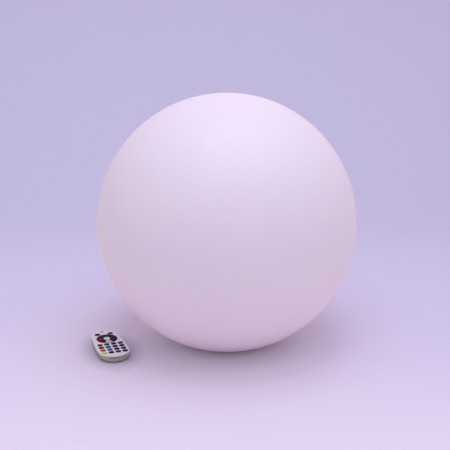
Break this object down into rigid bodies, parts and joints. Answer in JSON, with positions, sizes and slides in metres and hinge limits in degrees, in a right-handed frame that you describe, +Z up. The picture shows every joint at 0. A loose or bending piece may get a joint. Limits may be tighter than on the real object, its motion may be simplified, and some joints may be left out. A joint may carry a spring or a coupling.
{
  "type": "garden globe light",
  "caption": "Floor-standing white glowing ball for the garden, with a screwed-in battery and lamp base under it and a colour-changing remote control beside it.",
  "frame": {"origin": "middle of the ball's foot, on the floor that it stands on", "axes": "+Z up through the ball and its base, -Y towards the viewer, +X to the viewer's right; the remote lies at -X"},
  "size_m": [0.4144, 0.4, 0.3898],
  "materials": {
    "globe_white": "matt translucent white, fine moulded grain",
    "housing_white": "satin white",
    "seal_rubber": "soft black",
    "foot_rubber": "translucent grey silicone",
    "screw_steel": "bright zinc",
    "insert_brass": "bare",
    "board_white": "white solder mask",
    "led_yellow": "clear over phosphor",
    "receiver_dark": "dark infrared window",
    "black_plastic": "black moulded",
    "diffuser": "frosted translucent",
    "cell_sleeve": "shrink sleeve",
    "board_green": "green solder mask",
    "button_rubber": "soft grey",
    "light_lens": "clear red",
    "lead_black": "black sleeve",
    "remote_white": "white, softly shining",
    "remote_grey": "warm light grey",
    "mat_silicone": "translucent silicone",
    "emitter_clear": "smoked clear",
    "indicator_grey": "clear grey",
    "coin_steel": "stamped steel",
    "key_off": "soft silicone",
    "key_on": "soft silicone",
    "key_crimson": "soft silicone",
    "key_scarlet": "soft silicone",
    "key_orange": "soft silicone",
    "key_yellow": "soft silicone",
    "key_green": "soft silicone",
    "key_teal": "soft silicone",
    "key_cyan": "soft silicone",
    "key_petrol": "soft silicone",
    "key_indigo": "soft silicone",
    "key_navy": "soft silicone",
    "key_purple": "soft silicone",
    "key_magenta": "soft silicone",
    "key_flash": "soft silicone",
    "key_strobe": "soft silicone",
    "key_fade": "soft silicone",
    "key_smooth": "soft silicone",
    "key_ring_green": "soft silicone",
    "key_ring_red": "soft silicone",
    "key_ring_white": "soft silicone",
    "key_ring_blue": "soft silicone",
    "key_centre": "soft silicone"
  },
  "bodies": {
    "globe": {"globe_shell": "globe_white", "thread_collar": "housing_white", "collar_gasket": "seal_rubber", "collar_screws": "screw_steel", "collar_inserts": "insert_brass", "foot_ring": "foot_rubber"},
    "seal": {"o_ring": "seal_rubber"},
    "base": {"base_housing": "housing_white", "mounting_plate": "housing_white", "housing_screws": "screw_steel", "led_board": "board_white", "leds": "led_yellow", "ir_receiver": "receiver_dark", "led_header": "black_plastic", "diffuser_dome": "diffuser", "dome_gasket": "seal_rubber", "battery_cells": "cell_sleeve", "battery_cradle": "black_plastic", "control_board": "board_green", "board_parts": "black_plastic", "charge_jack": "black_plastic", "flap_pin": "screw_steel", "power_switch": "black_plastic", "charge_light": "light_lens", "wiring_leads": "lead_black"},
    "flap": {"port_flap": "seal_rubber"},
    "button": {"power_button": "button_rubber"},
    "remote": {"remote_top_cover": "remote_white", "remote_bottom_cover": "remote_grey", "key_mat": "mat_silicone", "remote_board": "board_green", "ir_emitter": "emitter_clear", "remote_screws": "screw_steel", "indicator_lens": "indicator_grey", "cell_contacts": "coin_steel"},
    "tray": {"battery_tray": "remote_grey", "coin_cell": "coin_steel"},
    "key_off": {"key_off": "key_off"},
    "key_on": {"key_on": "key_on"},
    "key_crimson": {"key_crimson": "key_crimson"},
    "key_scarlet": {"key_scarlet": "key_scarlet"},
    "key_orange": {"key_orange": "key_orange"},
    "key_yellow": {"key_yellow": "key_yellow"},
    "key_green": {"key_green": "key_green"},
    "key_teal": {"key_teal": "key_teal"},
    "key_cyan": {"key_cyan": "key_cyan"},
    "key_petrol": {"key_petrol": "key_petrol"},
    "key_indigo": {"key_indigo": "key_indigo"},
    "key_navy": {"key_navy": "key_navy"},
    "key_purple": {"key_purple": "key_purple"},
    "key_magenta": {"key_magenta": "key_magenta"},
    "key_flash": {"key_flash": "key_flash"},
    "key_strobe": {"key_strobe": "key_strobe"},
    "key_fade": {"key_fade": "key_fade"},
    "key_smooth": {"key_smooth": "key_smooth"},
    "key_ring_green": {"key_ring_green": "key_ring_green"},
    "key_ring_red": {"key_ring_red": "key_ring_red"},
    "key_ring_white": {"key_ring_white": "key_ring_white"},
    "key_ring_blue": {"key_ring_blue": "key_ring_blue"},
    "key_centre": {"key_centre": "key_centre"}
  },
  "joints": [
    {"name": "base_travel", "type": "slide", "parent": "globe", "child": "seal", "axis": [0, 0, -1], "range_m": [0, 0.096]},
    {"name": "base_turn", "type": "hinge", "parent": "seal", "child": "base", "pos_m": [0, 0, 0], "axis": [0, 0, -1], "range_deg": [0, 1440]},
    {"name": "port_flap_hinge", "type": "hinge", "parent": "base", "child": "flap", "pos_m": [0, -0.0205, 0.0177], "axis": [1, 0, 0], "range_deg": [0, 110]},
    {"name": "power_button_press", "type": "slide", "parent": "base", "child": "button", "axis": [0, 0, 1], "range_m": [0, 0.0015], "stiffness_N_per_m": 1500, "springref_m": -0.001},
    {"name": "remote_lift", "type": "slide", "parent": "globe", "child": "remote", "axis": [-0.5493, -0.3495, 0.759], "range_m": [0, 0.25]},
    {"name": "battery_tray_slide", "type": "slide", "parent": "remote", "child": "tray", "axis": [0.3305, -0.9438, 0], "range_m": [0, 0.028]},
    {"name": "key_off_press", "type": "slide", "parent": "remote", "child": "key_off", "axis": [0, 0, -1], "range_m": [0, 0.0008], "stiffness_N_per_m": 1000, "springref_m": -0.0005},
    {"name": "key_on_press", "type": "slide", "parent": "remote", "child": "key_on", "axis": [0, 0, -1], "range_m": [0, 0.0008], "stiffness_N_per_m": 1000, "springref_m": -0.0005},
    {"name": "key_crimson_press", "type": "slide", "parent": "remote", "child": "key_crimson", "axis": [0, 0, -1], "range_m": [0, 0.0008], "stiffness_N_per_m": 1000, "springref_m": -0.0005},
    {"name": "key_scarlet_press", "type": "slide", "parent": "remote", "child": "key_scarlet", "axis": [0, 0, -1], "range_m": [0, 0.0008], "stiffness_N_per_m": 1000, "springref_m": -0.0005},
    {"name": "key_orange_press", "type": "slide", "parent": "remote", "child": "key_orange", "axis": [0, 0, -1], "range_m": [0, 0.0008], "stiffness_N_per_m": 1000, "springref_m": -0.0005},
    {"name": "key_yellow_press", "type": "slide", "parent": "remote", "child": "key_yellow", "axis": [0, 0, -1], "range_m": [0, 0.0008], "stiffness_N_per_m": 1000, "springref_m": -0.0005},
    {"name": "key_green_press", "type": "slide", "parent": "remote", "child": "key_green", "axis": [0, 0, -1], "range_m": [0, 0.0008], "stiffness_N_per_m": 1000, "springref_m": -0.0005},
    {"name": "key_teal_press", "type": "slide", "parent": "remote", "child": "key_teal", "axis": [0, 0, -1], "range_m": [0, 0.0008], "stiffness_N_per_m": 1000, "springref_m": -0.0005},
    {"name": "key_cyan_press", "type": "slide", "parent": "remote", "child": "key_cyan", "axis": [0, 0, -1], "range_m": [0, 0.0008], "stiffness_N_per_m": 1000, "springref_m": -0.0005},
    {"name": "key_petrol_press", "type": "slide", "parent": "remote", "child": "key_petrol", "axis": [0, 0, -1], "range_m": [0, 0.0008], "stiffness_N_per_m": 1000, "springref_m": -0.0005},
    {"name": "key_indigo_press", "type": "slide", "parent": "remote", "child": "key_indigo", "axis": [0, 0, -1], "range_m": [0, 0.0008], "stiffness_N_per_m": 1000, "springref_m": -0.0005},
    {"name": "key_navy_press", "type": "slide", "parent": "remote", "child": "key_navy", "axis": [0, 0, -1], "range_m": [0, 0.0008], "stiffness_N_per_m": 1000, "springref_m": -0.0005},
    {"name": "key_purple_press", "type": "slide", "parent": "remote", "child": "key_purple", "axis": [0, 0, -1], "range_m": [0, 0.0008], "stiffness_N_per_m": 1000, "springref_m": -0.0005},
    {"name": "key_magenta_press", "type": "slide", "parent": "remote", "child": "key_magenta", "axis": [0, 0, -1], "range_m": [0, 0.0008], "stiffness_N_per_m": 1000, "springref_m": -0.0005},
    {"name": "key_flash_press", "type": "slide", "parent": "remote", "child": "key_flash", "axis": [0, 0, -1], "range_m": [0, 0.0008], "stiffness_N_per_m": 1000, "springref_m": -0.0005},
    {"name": "key_strobe_press", "type": "slide", "parent": "remote", "child": "key_strobe", "axis": [0, 0, -1], "range_m": [0, 0.0008], "stiffness_N_per_m": 1000, "springref_m": -0.0005},
    {"name": "key_fade_press", "type": "slide", "parent": "remote", "child": "key_fade", "axis": [0, 0, -1], "range_m": [0, 0.0008], "stiffness_N_per_m": 1000, "springref_m": -0.0005},
    {"name": "key_smooth_press", "type": "slide", "parent": "remote", "child": "key_smooth", "axis": [0, 0, -1], "range_m": [0, 0.0008], "stiffness_N_per_m": 1000, "springref_m": -0.0005},
    {"name": "key_ring_green_press", "type": "slide", "parent": "remote", "child": "key_ring_green", "axis": [0, 0, -1], "range_m": [0, 0.0008], "stiffness_N_per_m": 1000, "springref_m": -0.0005},
    {"name": "key_ring_red_press", "type": "slide", "parent": "remote", "child": "key_ring_red", "axis": [0, 0, -1], "range_m": [0, 0.0008], "stiffness_N_per_m": 1000, "springref_m": -0.0005},
    {"name": "key_ring_white_press", "type": "slide", "parent": "remote", "child": "key_ring_white", "axis": [0, 0, -1], "range_m": [0, 0.0008], "stiffness_N_per_m": 1000, "springref_m": -0.0005},
    {"name": "key_ring_blue_press", "type": "slide", "parent": "remote", "child": "key_ring_blue", "axis": [0, 0, -1], "range_m": [0, 0.0008], "stiffness_N_per_m": 1000, "springref_m": -0.0005},
    {"name": "key_centre_press", "type": "slide", "parent": "remote", "child": "key_centre", "axis": [0, 0, -1], "range_m": [0, 0.0008], "stiffness_N_per_m": 1000, "springref_m": -0.0005}
  ],
  "couplings": [
    {"joint": "base_travel", "follows": "base_turn", "m_per_rad": 0.0038197}
  ]
}
